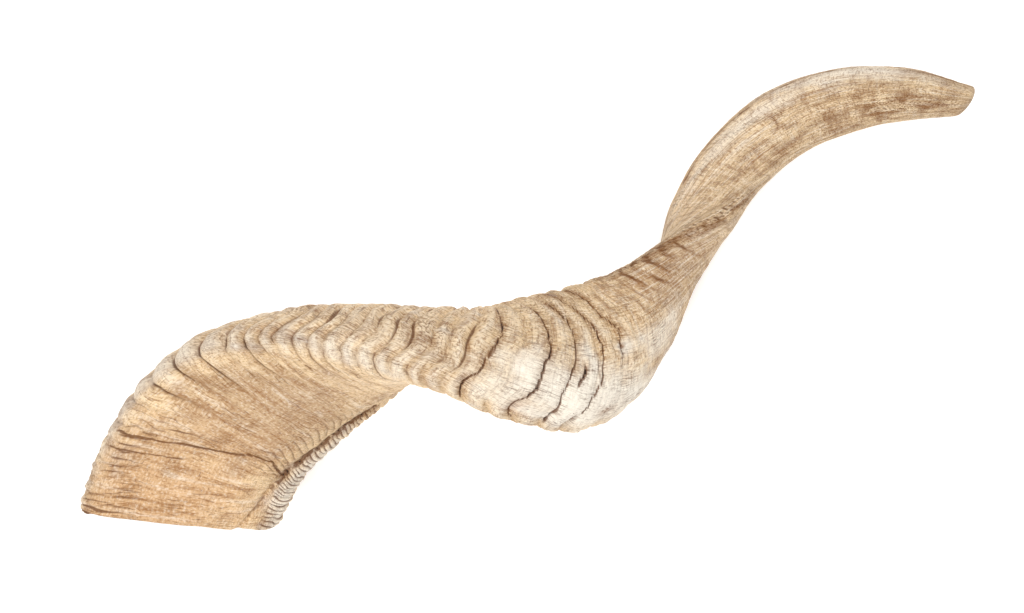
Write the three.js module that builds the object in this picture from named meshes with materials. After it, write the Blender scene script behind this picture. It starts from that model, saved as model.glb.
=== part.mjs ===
// Sheep horn: one hollow, twisted horn sheath lying on its back, with its flat face up at the root.
// Millimetres, +Z up. The origin is under the middle of the horn, on the surface that it lies on.
// The root, with its open socket, is at -X and -Y, and the tip is at +X and +Y.
import * as THREE from 'three';

// Centre line from the root to the tip, as x along the horn, y across it and z up
const CENTRE_LINE = [
  [-147, -115, -34],
  [-130.5, -72, -20],
  [-113, -46.5, -8.5],
  [-84, -29.5, 3.5],
  [-56, -23, 11.5],
  [-28, -20.5, 13.5],
  [1, -22, 7.5],
  [27, -20, -7.5],
  [49, -5, -20],
  [67, 19, -27.5],
  [79, 39, -31.5],
  [92, 58, -33.5],
  [111.5, 75, -32.5],
  [136, 84.5, -29],
  [163, 86.5, -25],
  [186.5, 84, -22],
];

// Section at each of those points: width between the keels, thickness, and roll in degrees
const SECTIONS = [
  [77, 41, 0],
  [78.5, 41, 6],
  [75, 39, 16],
  [70, 36, 45],
  [65.5, 32.5, 73],
  [60.5, 29, 103],
  [58, 28, 136],
  [57, 27, 172],
  [47, 23, 212],
  [36, 19.5, 250],
  [35, 21.5, 297],
  [31, 20, 328],
  [30, 18, 346],
  [27, 16, 356],
  [21, 13.5, 360],
  [12, 9, 362],
];

// Section outlines in shares of the width and the thickness. Each runs from the outer keel over the flat
// face, the groove, the bead and the inner keel, and back over the belly.
const ROOT_OUTLINE = [
  [0.5, 0.1],
  [0.44, 0.27],
  [0.24, 0.3],
  [-0.03, 0.3],
  [-0.26, 0.3],
  [-0.365, 0.21],
  [-0.45, 0.21],
  [-0.5, 0.02],
  [-0.46, -0.28],
  [-0.29, -0.6],
  [0.02, -0.68],
  [0.35, -0.7],
  [0.455, -0.34],
];
const SHAFT_OUTLINE = [
  [0.5, 0.1],
  [0.44, 0.27],
  [0.24, 0.3],
  [-0.03, 0.3],
  [-0.26, 0.3],
  [-0.365, 0.21],
  [-0.45, 0.21],
  [-0.5, 0.02],
  [-0.44, -0.26],
  [-0.23, -0.57],
  [0.05, -0.7],
  [0.3, -0.56],
  [0.46, -0.22],
];
const OUTLINE_POINTS = SHAFT_OUTLINE.length;
// The outline changes from root to shaft and from shaft to an oval tip over these shares of the length
const ROOT_TO_SHAFT = [0.1, 0.27];
const SHAFT_TO_TIP = [0.62, 0.95];

// Flat cut at the root: a point of it, and two directions that lie in it
const CUT_POINT = new THREE.Vector3(-172.8, -85, -13);
const CUT_ALONG = new THREE.Vector3(66, -6.5, 0);
const CUT_DOWN = new THREE.Vector3(0, -0.3, 1);

// The cut is looked for within this share of the length, by halving it
const CUT_WITHIN = 0.3;
const CUT_HALVINGS = 40;

// Furrows between the growth ribs, in millimetres of growth from the root's rim
const FURROWS = [
  0, 8, 16, 24, 32, 40, 49, 57.5, 66.5, 76.5, 87, 97, 106, 115, 123, 131.5, 138, 146, 152.5, 160,
  168.5, 178, 187, 197.5, 209, 222, 236, 250, 265, 281, 300,
];
// Heights of the ribs on the outer keel, the belly, the bead and the flat face
const KEEL_RIB = 1.9;
const BELLY_RIB = 1.5;
const BEAD_RIB = 0.9;
const FACE_RIB = 0.2;
// Roundness of their crests, and the share of their height by which the furrows lie under the plain section
const CREST_POWER = 0.8;
const FURROW_SHARE = 0.65;
// The ribs set in behind the rim and fade out over these shares of the length
const RIBS_START = [0, 0.012];
const RIBS_FADE = [0.47, 0.62];
// Over the belly the ribs bow towards the tip by this share of the width, growing over these shares
const RIB_BOW = 0.1;
const BOW_START = [0.1, 0.25];
// Towards the tip the ribs straighten out over these shares of the length
const RIBS_STRAIGHTEN = [0.6, 0.92];
// In outline points: half the outer keel, and where the belly and the bead begin and end
const KEEL_REACH = [0, 1.3];
const BELLY_BEGINS = [7, 9.5];
const BELLY_ENDS = [11.5, 13];
const BEAD_BEGINS = [5, 6];
const BEAD_ENDS = [7, 8.5];

// Worn tip: length of its rounding, how far its end slants, and the shares over which the slant sets in
const TIP_ROUNDING = 3.5;
const TIP_SLANT = 2.5;
const SLANT_START = [0.9, 1];

// Socket of the bony core: depth, wall at the mouth, the height of its axis and how far it tapers
const SOCKET_DEPTH = 120;
const SOCKET_WALL = 6.5;
const SOCKET_AXIS = -0.19;
const SOCKET_TAPER = 0.45;

// Resting tilt of the horn, in degrees about X and about Y
const REST_TILT_X = 7.1;
const REST_TILT_Y = 4.8;

// Mesh rows along the ribbed part, the smooth part, the tip's rounding and the socket, and columns around
const RIBBED_ROWS = 132;
const SMOOTH_ROWS = 22;
const TIP_ROWS = 4;
const SOCKET_ROWS = 12;
const COLUMNS = 2 * OUTLINE_POINTS;
const RIBBED_SHARE = 0.66;

const HORN_COLOUR = 0xb5946b;

const vector = ([x, y, z]) => new THREE.Vector3(x, y, z);
const flat = ([a, b]) => new THREE.Vector3(a, b, 0);
const spline = (points, closed) => new THREE.CatmullRomCurve3(points, closed, 'catmullrom', 0.5);
const smooth = ([from, to], x) => THREE.MathUtils.smoothstep(x, from, to);

const centreLine = spline(CENTRE_LINE.map(vector), false);
centreLine.arcLengthDivisions = 4000;
const LENGTH = centreLine.getLength();
const sections = spline(SECTIONS.map(vector), false);
const rootOutline = spline(ROOT_OUTLINE.map(flat), true);
const shaftOutline = spline(SHAFT_OUTLINE.map(flat), true);
const tipOval = Array.from({ length: OUTLINE_POINTS }, (_, i) => {
  const angle = (2 * Math.PI * i) / OUTLINE_POINTS;
  return new THREE.Vector3(0.5 * Math.cos(angle), 0.5 * Math.sin(angle), 0);
});
const tipOutline = spline(tipOval, true);

const cutNormal = new THREE.Vector3().crossVectors(CUT_ALONG, CUT_DOWN).normalize();
if (cutNormal.y < 0) {
  cutNormal.negate();
}

// Width, thickness and roll of the section at a share s of the length
function sectionAt(s) {
  const place = sections.getPoint(centreLine.getUtoTmapping(s));
  return { width: place.x, thickness: place.y, roll: THREE.MathUtils.degToRad(place.z) };
}

// Point of the section's outline in millimetres, at a share v of the way around
function outlineAt(s, v) {
  const around = v - Math.floor(v);
  const { width, thickness } = sectionAt(s);
  const outline = rootOutline.getPoint(around).lerp(shaftOutline.getPoint(around), smooth(ROOT_TO_SHAFT, s));
  outline.lerp(tipOutline.getPoint(around), smooth(SHAFT_TO_TIP, s));
  return new THREE.Vector2(outline.x * width, outline.y * thickness);
}

// The outline's outward direction
function outwardAt(s, v) {
  const step = 0.001;
  const along = outlineAt(s, v + step).sub(outlineAt(s, v - step)).normalize();
  return new THREE.Vector2(along.y, -along.x);
}

// Place of a section point (a across the keels, b through the thickness) in space
function placeAt(s, a, b) {
  const t = centreLine.getUtoTmapping(s);
  const tangent = centreLine.getTangent(t);
  const side = new THREE.Vector3(0, 0, 1).cross(tangent).normalize();
  const above = new THREE.Vector3().crossVectors(tangent, side);
  const { roll } = sectionAt(s);
  const toKeel = side.clone().multiplyScalar(Math.cos(roll)).addScaledVector(above, Math.sin(roll));
  const toFace = above.clone().multiplyScalar(Math.cos(roll)).addScaledVector(side, -Math.sin(roll));
  return centreLine.getPoint(t).addScaledVector(toKeel, a).addScaledVector(toFace, b);
}

// Share of the length at which a surface, given as a function of s, passes the root's flat cut
function whereCut(surface) {
  let low = 0;
  let high = CUT_WITHIN;
  for (let i = 0; i < CUT_HALVINGS; i += 1) {
    const middle = (low + high) / 2;
    const beyond = surface(middle).sub(CUT_POINT).dot(cutNormal) > 0;
    low = beyond ? low : middle;
    high = beyond ? middle : high;
  }
  return high;
}

const columns = Array.from({ length: COLUMNS }, (_, j) => j / COLUMNS);
const rimStarts = columns.map((v) => whereCut((s) => {
  const { x, y } = outlineAt(s, v);
  return placeAt(s, x, y);
}));
const rimMiddle = rimStarts.reduce((sum, s) => sum + s, 0) / COLUMNS;
const rimWidth = sectionAt(rimMiddle).width;

// How far a place around the outline belongs to the outer keel, to the belly and to the bead
const onKeel = (v) => 1 - smooth(KEEL_REACH, OUTLINE_POINTS * Math.min(v, 1 - v));
const between = (begins, ends, x) => smooth(begins, x) * (1 - smooth(ends, x));
const onBelly = (v) => between(BELLY_BEGINS, BELLY_ENDS, OUTLINE_POINTS * v);
const onBead = (v) => between(BEAD_BEGINS, BEAD_ENDS, OUTLINE_POINTS * v);

// Share of the length of a growth row t at column j: rows keep the slant of the root's cut, then straighten
function growthShare(t, j) {
  const v = columns[j];
  const middle = rimMiddle + (1 - rimMiddle) * t;
  const { width } = sectionAt(middle);
  const slant = 1 - smooth(RIBS_STRAIGHTEN, t);
  const bow = RIB_BOW * (width / LENGTH) * onBelly(v) * smooth(BOW_START, t);
  return middle + slant * ((rimStarts[j] - rimMiddle) * (width / rimWidth) + bow);
}

// Place between two furrows of a growth in millimetres, from 0 in the one to 1 in the next
function betweenFurrows(growth) {
  const next = FURROWS.findIndex((furrow) => furrow > growth);
  if (next < 1) {
    return 0;
  }
  return (growth - FURROWS[next - 1]) / (FURROWS[next] - FURROWS[next - 1]);
}

// Height of the growth ribs over the plain section: round crests with narrow furrows between them
function ribHeight(t, v) {
  const crest = Math.sin(Math.PI * betweenFurrows(t * LENGTH)) ** CREST_POWER - FURROW_SHARE;
  const height = FACE_RIB + KEEL_RIB * onKeel(v) + BELLY_RIB * onBelly(v) + BEAD_RIB * onBead(v);
  return crest * height * (1 - smooth(RIBS_FADE, t)) * smooth(RIBS_START, t);
}

// Row of vertices over the outside of the horn
function outerRow(t) {
  return columns.map((v, j) => {
    const slant = (TIP_SLANT / LENGTH) * (1 - Math.cos(2 * Math.PI * v)) * smooth(SLANT_START, t);
    const s = growthShare(t, j) - slant;
    const point = outlineAt(s, v).addScaledVector(outwardAt(s, v), ribHeight(t, v));
    return placeAt(s, point.x, point.y);
  });
}

// Row of the tip's rounding, from 0 at its start to 1 at its end
function tipRow(share) {
  const angle = (share * Math.PI) / 2;
  const shrink = Math.cos(angle);
  return columns.map((v) => {
    const s = 1 - (TIP_SLANT / LENGTH) * (1 - shrink * Math.cos(2 * Math.PI * v));
    const { x, y } = outlineAt(s, v).multiplyScalar(shrink);
    const tangent = centreLine.getTangent(1);
    return placeAt(s, x, y).addScaledVector(tangent, TIP_ROUNDING * Math.sin(angle));
  });
}

// Point of the socket's wall, scaled down from the section's outline
function socketPoint(s, v, shrink) {
  const { width, thickness } = sectionAt(s);
  const { x, y } = outlineAt(s, v);
  const axis = SOCKET_AXIS * thickness;
  const a = x * (1 - (2 * SOCKET_WALL) / width) * shrink;
  const b = axis + (y - axis) * (1 - (2 * SOCKET_WALL) / thickness) * shrink;
  return placeAt(s, a, b);
}

const mouthStarts = columns.map((v) => whereCut((s) => socketPoint(s, v, 1)));
const socketEnd = rimMiddle + SOCKET_DEPTH / LENGTH;

// Row of the socket's wall, from 0 at its mouth to 1 at its blind end
function socketRow(share) {
  const shrink = (1 - SOCKET_TAPER * share) * Math.sqrt(1 - share ** 4);
  return columns.map((v, j) => {
    const s = mouthStarts[j] + (socketEnd - mouthStarts[j]) * share;
    return socketPoint(s, v, shrink);
  });
}

// All rows in order, from the socket's blind end over the rim and along the outside to the tip
function hornRows() {
  const rows = [];
  for (let i = SOCKET_ROWS - 1; i >= 0; i -= 1) {
    rows.push(socketRow(i / SOCKET_ROWS));
  }
  for (let i = 0; i < RIBBED_ROWS; i += 1) {
    rows.push(outerRow((RIBBED_SHARE * i) / RIBBED_ROWS));
  }
  for (let i = 0; i <= SMOOTH_ROWS; i += 1) {
    rows.push(outerRow(RIBBED_SHARE + ((1 - RIBBED_SHARE) * i) / SMOOTH_ROWS));
  }
  for (let i = 1; i < TIP_ROWS; i += 1) {
    rows.push(tipRow(i / TIP_ROWS));
  }
  return rows;
}

// Closed skin over the rows, with one point at each end
function skin(rows, firstPoint, lastPoint) {
  const points = [firstPoint, ...rows.flat(), lastPoint];
  const last = points.length - 1;
  const at = (i, j) => 1 + i * COLUMNS + (j % COLUMNS);
  const faces = [];
  for (let j = 0; j < COLUMNS; j += 1) {
    faces.push(0, at(0, j + 1), at(0, j));
    faces.push(last, at(rows.length - 1, j), at(rows.length - 1, j + 1));
    for (let i = 0; i < rows.length - 1; i += 1) {
      faces.push(at(i, j), at(i, j + 1), at(i + 1, j + 1));
      faces.push(at(i, j), at(i + 1, j + 1), at(i + 1, j));
    }
  }
  const geometry = new THREE.BufferGeometry();
  geometry.setFromPoints(points);
  geometry.setIndex(faces);
  return geometry;
}

const socketTop = placeAt(socketEnd, 0, SOCKET_AXIS * sectionAt(socketEnd).thickness);
const tipShare = 1 - TIP_SLANT / LENGTH;
const tipPoint = placeAt(tipShare, 0, 0).addScaledVector(centreLine.getTangent(1), TIP_ROUNDING);
const geometry = skin(hornRows(), socketTop, tipPoint);

// The horn is laid on the points that carry it, and centred over the origin
geometry.rotateX(THREE.MathUtils.degToRad(REST_TILT_X));
geometry.rotateY(THREE.MathUtils.degToRad(REST_TILT_Y));
geometry.computeBoundingBox();
const box = geometry.boundingBox;
const middle = box.getCenter(new THREE.Vector3());
geometry.translate(-middle.x, -middle.y, -box.min.z);
geometry.computeVertexNormals();

const keratin = new THREE.MeshStandardMaterial({ color: HORN_COLOUR, roughness: 0.6, metalness: 0 });
const horn = new THREE.Mesh(geometry, keratin);
horn.name = 'horn';

const sheepHorn = new THREE.Group();
sheepHorn.add(horn);

export default sheepHorn;
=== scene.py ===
"""Sheep horn: one hollow, twisted horn sheath that lies on a pale floor, seen from above."""

import bpy
import numpy as np
from mathutils import Matrix, Vector


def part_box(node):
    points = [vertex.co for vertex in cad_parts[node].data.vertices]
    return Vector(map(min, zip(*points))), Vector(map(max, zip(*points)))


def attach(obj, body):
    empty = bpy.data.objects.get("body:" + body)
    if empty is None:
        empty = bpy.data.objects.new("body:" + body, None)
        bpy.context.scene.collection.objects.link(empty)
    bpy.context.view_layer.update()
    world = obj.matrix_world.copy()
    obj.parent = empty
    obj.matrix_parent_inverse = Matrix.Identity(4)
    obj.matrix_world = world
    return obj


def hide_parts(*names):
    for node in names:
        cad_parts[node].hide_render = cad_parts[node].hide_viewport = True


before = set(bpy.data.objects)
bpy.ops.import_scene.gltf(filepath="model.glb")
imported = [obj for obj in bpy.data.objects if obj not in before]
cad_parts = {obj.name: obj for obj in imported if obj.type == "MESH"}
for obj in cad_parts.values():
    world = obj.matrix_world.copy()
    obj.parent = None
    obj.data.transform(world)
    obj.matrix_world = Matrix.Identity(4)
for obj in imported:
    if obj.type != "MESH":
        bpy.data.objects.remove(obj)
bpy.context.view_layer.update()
HORN_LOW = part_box("horn")[0]

bl_info = {
    "name": "Sheep Horn",
    "version": (1, 0, 0),
    "blender": (4, 5, 0),
    "location": "View3D > Sidebar > Sheep Horn",
    "description": "Builds a weathered sheep horn and a plain studio stage for it",
    "category": "Object",
}

MM = 0.001

# Centre line from the root to the tip in millimetres, in the frame that the camera looks straight down on
CENTRE_LINE = np.array([
    (-147, -115, -34), (-130.5, -72, -20), (-113, -46.5, -8.5), (-84, -29.5, 3.5),
    (-56, -23, 11.5), (-28, -20.5, 13.5), (1, -22, 7.5), (27, -20, -7.5),
    (49, -5, -20), (67, 19, -27.5), (79, 39, -31.5), (92, 58, -33.5),
    (111.5, 75, -32.5), (136, 84.5, -29), (163, 86.5, -25), (186.5, 84, -22),
])
# Section at each of those points: width between the keels, thickness, and roll in degrees
SECTIONS = np.array([
    (77, 41, 0), (78.5, 41, 6), (75, 39, 16), (70, 36, 45), (65.5, 32.5, 73), (60.5, 29, 103),
    (58, 28, 136), (57, 27, 172), (47, 23, 212), (36, 19.5, 250), (35, 21.5, 297), (31, 20, 328),
    (30, 18, 346), (27, 16, 356), (21, 13.5, 360), (12, 9, 362),
])
# Section outlines in shares of the width and the thickness, from the outer keel over the flat face,
# the groove, the bead and the inner keel, and back over the belly
KEELS_AND_FACE = (
    (0.5, 0.1), (0.44, 0.27), (0.24, 0.3), (-0.03, 0.3), (-0.26, 0.3), (-0.365, 0.21), (-0.45, 0.21),
    (-0.5, 0.02),
)
ROOT_BELLY = ((-0.46, -0.28), (-0.29, -0.6), (0.02, -0.68), (0.35, -0.7), (0.455, -0.34))
SHAFT_BELLY = ((-0.44, -0.26), (-0.23, -0.57), (0.05, -0.7), (0.3, -0.56), (0.46, -0.22))
ROOT_OUTLINE = np.array(KEELS_AND_FACE + ROOT_BELLY)
SHAFT_OUTLINE = np.array(KEELS_AND_FACE + SHAFT_BELLY)
OUTLINE_POINTS = len(SHAFT_OUTLINE)
TIP_ANGLES = 2 * np.pi * np.arange(OUTLINE_POINTS) / OUTLINE_POINTS
TIP_OUTLINE = 0.5 * np.column_stack([np.cos(TIP_ANGLES), np.sin(TIP_ANGLES)])
# The outline changes from root to shaft and from shaft to tip over these shares of the length
ROOT_TO_SHAFT = (0.1, 0.27)
SHAFT_TO_TIP = (0.62, 0.95)

# Flat cut at the root: a point of it, and two directions that lie in it
CUT_POINT = np.array((-172.8, -85, -13))
CUT_ALONG = np.array((66, -6.5, 0))
CUT_DOWN = np.array((0, -0.3, 1))
CUT_WITHIN = 0.3
CUT_HALVINGS = 40

# Furrows between the growth ribs, in millimetres of growth from the root's rim
FURROWS = np.array([
    0, 8, 16, 24, 32, 40, 49, 57.5, 66.5, 76.5, 87, 97, 106, 115, 123, 131.5, 138, 146, 152.5, 160,
    168.5, 178, 187, 197.5, 209, 222, 236, 250, 265, 281, 300,
])
# The fine relief has closer ribs than the solid part between these two furrows
CLOSE_RIBS = (87, 168.5)
CLOSE_FURROWS = (95, 101, 106, 112, 117, 122, 128, 133, 139, 144, 150, 155, 161)
FINE_FURROWS = np.concatenate([
    FURROWS[FURROWS <= CLOSE_RIBS[0]], CLOSE_FURROWS, FURROWS[FURROWS >= CLOSE_RIBS[1]],
])
CREST_POWER = 0.8
FURROW_SHARE = 0.65
RIBS_START = (0, 0.012)
RIBS_FADE = (0.47, 0.62)
RIB_BOW = 0.1
BOW_START = (0.1, 0.25)
RIBS_STRAIGHTEN = (0.6, 0.92)
# In outline points: half the outer keel, and where the belly and the bead begin and end
KEEL_REACH = (0, 1.3)
BELLY_BEGINS = (7, 9.5)
BELLY_ENDS = (11.5, 13)
BEAD_BEGINS = (5, 6)
BEAD_ENDS = (7, 8.5)

# Worn tip, socket of the bony core, and the tilt in degrees at which the horn lies
TIP_ROUNDING = 3.5
TIP_SLANT = 2.5
SLANT_START = (0.9, 1)
SOCKET_DEPTH = 120
SOCKET_WALL = 6.5
SOCKET_AXIS = -0.19
SOCKET_TAPER = 0.45
REST_TILT_X = 7.1
REST_TILT_Y = 4.8

# The outer keel sweeps out a little where the tip turns away: its growth, its reach and how far it goes
SWEEP_AT = 288
SWEEP_REACH = 22
KEEL_SWEEP = np.array((-6.5, -1.0, 0.0))

# Rows of the solid part's mesh, which say where its box lies
SOLID_RIBBED_SHARE = 0.66
SOLID_RIBBED_ROWS = 132
SOLID_SMOOTH_ROWS = 22
SOLID_COLUMNS = 2 * OUTLINE_POINTS

# Rows of the fine mesh: spans of growth in millimetres with the spacing of their rows
ROW_SPANS = ((0, 160, 0.55), (160, 236, 0.36), (236, 446, 1.35))
# Columns of the fine mesh: spans in outline points with their number of columns
COLUMN_SPANS = ((0, 4, 34), (4, 5.6, 34), (5.6, 7.2, 18), (7.2, 13, 50))
RIM_ROWS = 5
SOCKET_ROWS = 22
TIP_ROWS = 9

# Cracks and gashes across the growth, as (outline point, growth), with half their width and their depth.
# Outline points past the outer keel count on from 13.
CRACKS = (
    (((8.8, 165), (10.35, 171), (11.2, 169), (12.35, 166), (13.4, 168)), 0.34, 0.7),
    (((8.6, 180), (9.5, 185), (10.15, 188), (11.1, 188), (12.3, 184), (13.3, 187)), 0.38, 0.9),
    (((8.3, 189), (9.35, 197), (10.4, 199), (11.6, 196), (12, 197), (12.8, 199)), 0.36, 0.9),
    (((7.95, 196), (9.2, 211), (10, 214), (10.7, 213), (12.15, 206), (12.7, 208)), 0.34, 0.8),
    (((7.5, 215), (9.05, 219), (9.5, 225), (10.4, 223)), 0.32, 0.6),
    (((10.4, 204), (10.8, 203), (11.1, 201)), 0.6, 1.2),
    (((11.9, 197), (12.4, 198), (12.8, 199.5)), 0.7, 1.1),
    (((12.1, 206), (12.7, 208)), 0.7, 1.1),
)
# Dark growth lines of the flat face, as (outline point, growth), with half their width and their darkness
FACE_LINES = (
    (((0.7, 38), (1.65, 38), (2.5, 40), (3.2, 44), (3.65, 49), (4.1, 51), (5.3, 41)), 0.55, 0.85),
    (((2.9, 42), (3.2, 44), (3.65, 49), (4.1, 51), (5.3, 41)), 0.7, 0.9),
    (((1.9, 44), (2.8, 47), (3.4, 52), (3.9, 57), (5.2, 51)), 0.45, 0.55),
    (((0.5, 31), (1.8, 31), (2.6, 34)), 0.45, 0.6),
    (((0.4, 8), (1.55, 12), (2.0, 16)), 0.45, 0.5),
    (((0.9, 3), (1.6, 7)), 0.4, 0.4),
    (((2.5, 2), (3.0, 8), (3.7, 1)), 0.4, 0.5),
    (((2.3, 6), (3.0, 13), (3.9, 5)), 0.4, 0.45),
    (((2.9, 17), (3.6, 20), (4.4, 14)), 0.4, 0.45),
    (((3.1, 24), (3.7, 27), (4.4, 21)), 0.4, 0.5),
    (((1.2, 22), (2.0, 24), (2.9, 30)), 0.4, 0.4),
    (((1.4, 57), (2.4, 60), (3.5, 68)), 0.4, 0.35),
    (((1.6, 70), (2.6, 75), (3.4, 82)), 0.4, 0.35),
    (((1.7, 88), (2.7, 90.5)), 0.45, 0.4),
    (((2.1, 101), (3.1, 111)), 0.45, 0.45),
    (((2.5, 100), (3.4, 106.5)), 0.4, 0.35),
    (((2.7, 91), (3.6, 100.5)), 0.4, 0.35),
)
# Groove between the flat face and the bead, as (growth, outline point)
GROOVE = ((0, 4.35), (15, 5.0), (39, 5.25), (58, 5.3), (70, 5.38), (87, 5.33), (108, 5.42))
# Lengthwise cracks near the tip, as (growth, outline point)
TIP_CRACKS = (
    ((316, 1.5), (341, 1.0), (361, 0.95), (392, 0.6)),
    ((306, 5.3), (316, 5.7), (326, 6.1)),
)
# How the ribs sway along the growth from the inner to the outer keel, past the horn's first bend
SWAY_PLACES = (5, 7.5, 8.5, 9.3, 10.2, 11, 12.2, 13.3, 18)
SWAY_GROWTHS = (0, -9, -7, -1, 2, 1, -2.5, 0, 0)
SWAY_START = (150, 190)

# Coloured zones as (growth, outline point, reach along the growth, reach around in points, strength)
WARM_ZONES = (
    (10, 2.4, 45, 2.2, 1.0), (50, 3.2, 30, 1.6, 0.8), (188, 12.4, 7, 0.5, 0.9), (30, 11, 60, 2, 0.3),
)
# The cream zones at growths 180 and 208 paint bounce light from below on the bend's bulge between the
# cracks; those at 350 and 400 paint the tip's pale upper band, partly bleached keratin and partly painted
# highlight
CREAM_ZONES = (
    (208, 11.6, 36, 1.1, 1.0), (246, 10.3, 16, 0.8, 0.55), (180, 12.0, 18, 1.0, 0.55),
    (40, 6.3, 60, 0.9, 0.75), (400, 1.3, 36, 0.8, 0.75), (350, 2.0, 36, 0.7, 0.6),
    (138, 11.9, 36, 1.2, 0.2), (60, 0.2, 40, 0.7, 0.4), (130, 0.2, 30, 0.8, 0.35), (330, 9, 40, 1.5, 0.4),
)
GREY_ZONES = (
    (86, 2.9, 40, 2.0, 1.0), (268, 8.6, 32, 1.6, 0.9), (300, 11, 50, 2.5, 0.5), (120, 8.5, 60, 1.8, 0.15),
    (330, 4, 50, 1.8, 0.4), (140, 3.4, 30, 1.5, 0.4),
)
DIRT_ZONES = (
    (148, 11.2, 13, 0.6, 0.7), (284, 6.75, 46, 0.65, 1.0), (120, 12.2, 16, 0.8, 0.25),
    (218, 11.85, 4, 0.25, 0.9), (418, 4.1, 42, 1.3, 1.0), (433, 0.9, 14, 0.5, 1.0), (385, 5, 40, 0.9, 0.6),
    (24, 5.6, 34, 0.5, 0.5), (30, 9.5, 60, 2.5, 0.4), (200, 8.2, 20, 0.6, 0.55), (60, 12.7, 40, 0.5, 0.4),
)

# Random ripples of the surface: step along the growth in millimetres, count around the horn, and seed
RIPPLES = {
    "rib_waver": (9, 18, 11), "rib_shiver": (3, 50, 12), "rib_height": (8, 9, 13),
    "keel_furrow": (6, 14, 14), "belly_furrow": (5, 22, 15),
    "fine_ring": (1.1, 26, 21), "coarse_ring": (2.1, 13, 22), "ring_patch": (13, 20, 25),
    "lump": (26, 8, 23), "small_lump": (11, 18, 24), "root_ridge": (6, 30, 26), "face_fold": (7, 12, 27),
    "bead_ridge": (5, 30, 31), "stripe": (6, 12, 32),
    "crack_waver": (4, 75, 41), "crack_shiver": (2, 160, 42), "crack_width": (3, 40, 43),
    "groove_waver": (4, 4, 44), "groove_fleck": (1.6, 90, 53),
    "tip_crack_waver": (4, 4, 45), "tip_crack": (6, 4, 47), "face_line": (5, 30, 46),
    "blotch": (9, 26, 51), "small_blotch": (4, 60, 52),
    "rim_chip": (5, 46, 61), "socket_wall": (12, 14, 62), "cut_face": (2.5, 60, 63),
    "grain_drift": (14, 14, 71), "grain_shiver": (5, 40, 72), "grain_turn": (18, 20, 73),
}
# Ripples that break a thing up into patches: the middle and the swing of its share
PATCHES = {
    "keel_furrow": (0.6, 0.8), "belly_furrow": (0.5, 0.9), "ring_patch": (0.5, 0.9), "stripe": (0.5, 0.9),
    "tip_crack": (0.7, 0.8),
}
# How dark the marks of each kind look: painted shade in the furrows, folds, bead troughs and cracks, and the
# real colour of the rings, stripes and growth lines
DARKNESS = {
    "keel_furrow": 0.85, "belly_furrow": 0.8, "ring": 0.6, "face_fold": 0.6, "stripe": 0.6, "bead": 0.95,
    "strip": 0.7, "tip_crack": 0.75, "face_line": 1.05,
}

# Where each kind of relief begins and ends along the horn, in millimetres of growth
WAVER_START = (0, 6)
KEEL_RIBS_RISE = (30, 50)
KEEL_RIBS_EASE = (110, 150)
BELLY_RIBS_EASE = (155, 185)
KEEL_FOLDS_ALONG = ((36, 50), (105, 130))
KEEL_FURROWS_ALONG = ((28, 48), (150, 175))
KEEL_FURROWS_EASE = (85, 110)
BELLY_FURROWS_EASE = (158, 172)
RINGS_EASE = (150, 180)
ROOT_RIDGES_END = (38, 52)
FACE_FOLDS_ALONG = ((32, 46), (98, 118))
BEAD_ENDS_ALONG = (95, 125)
STRIP_ALONG = ((215, 245), (315, 335))
STRIPES_ALONG = ((215, 235), (300, 325))
GROOVE_SHALLOWS = (60, 100)
# The groove's painted shadow deepens over this span
GROOVE_DARKENS = (22, 48)
SHAFT_STREAKS_START = (205, 265)
SHAFT_BEGINS = (215, 290)
# Where they begin and end around the horn, in outline points
KEEL_FOLDS_AROUND = ((0.2, 0.8), (1.6, 3.0))
KEEL_FURROWS_AROUND = (1.2, 2.9)
ROOT_RIDGES_AROUND = (1.2, 3.0)
FACE_AROUND = ((0.3, 1.2), (4.6, 5.2))
FACE_FOLDS_AROUND = ((3.2, 4.0), (5.0, 5.25))
BEAD_AROUND = ((5.1, 5.6), (7.0, 7.9))
STRIP_AROUND = ((5.6, 6.2), (7.2, 8.0))
STRIPES_AROUND = ((6.3, 6.8), (8.4, 10.2))
CRACK_EDGE = (12, 12.6)
# Outline points below this one may count on past the outer keel, from 13
KEEL_SIDE_ENDS = 5
# How the folds beside the groove slant: millimetres of growth at outline points
FOLD_PLACES = (3.2, 3.9, 5.2)
FOLD_GROWTHS = (0, 6, -3)
# The bead's ridges slant by so many millimetres of growth for each outline point from its middle
BEAD_SLANT = 2.4
BEAD_MIDDLE = 6
# Ridges are rounder than a sine, about a mean height
RIDGE_POWER = 0.7
RIDGE_MEAN = 0.7
FOLD_MEAN = 0.5

# Half widths and reaches of furrows, cracks and their stains across their run, in millimetres; the stain
# beside the furrows is partly painted shade
FURROW_WIDTH = 0.55
FURROW_STAIN_AND_SHADE = 2.2
CRACK_STAIN = 2.6
CRACK_EDGE_WIDTH = 1.5
FACE_LINE_STAIN = 2.2
# The same of lengthwise lines, in outline points
GROOVE_WIDTH = 0.16
TIP_CRACK_WIDTH = 0.09
TIP_CRACK_STAIN = 0.3
# Widths of drawn rings, ridges and stripes, as shares of their swing
RING_LINE = 0.1
ROOT_RIDGE_LINE = 0.55
STRIPE_LINE = 0.5
# Zones of colour waver at their edges by this share
ZONE_WAVER = 0.7

# Chips of the rim, its rounding, and the roughness and width of the cut, in millimetres
CHIP_DEPTH = 0.9
CHIP_REACH = 5
RIM_ROUNDING = 0.9
CUT_ROUGHNESS = 0.35
CUT_WIDTH = 9
# Roughness of the socket's wall as a share of its size, where along the socket it comes in, and the tones:
# the socket's wall darkens deeper inside as painted shade, and the cut has one tone
SOCKET_ROUGHNESS = 0.03
SOCKET_ROUGH_START = (0, 0.15)
SOCKET_DARKENS = (0, 25)
SOCKET_TONES = (0.45, 1.0)
CUT_TONE = 0.4
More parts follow.
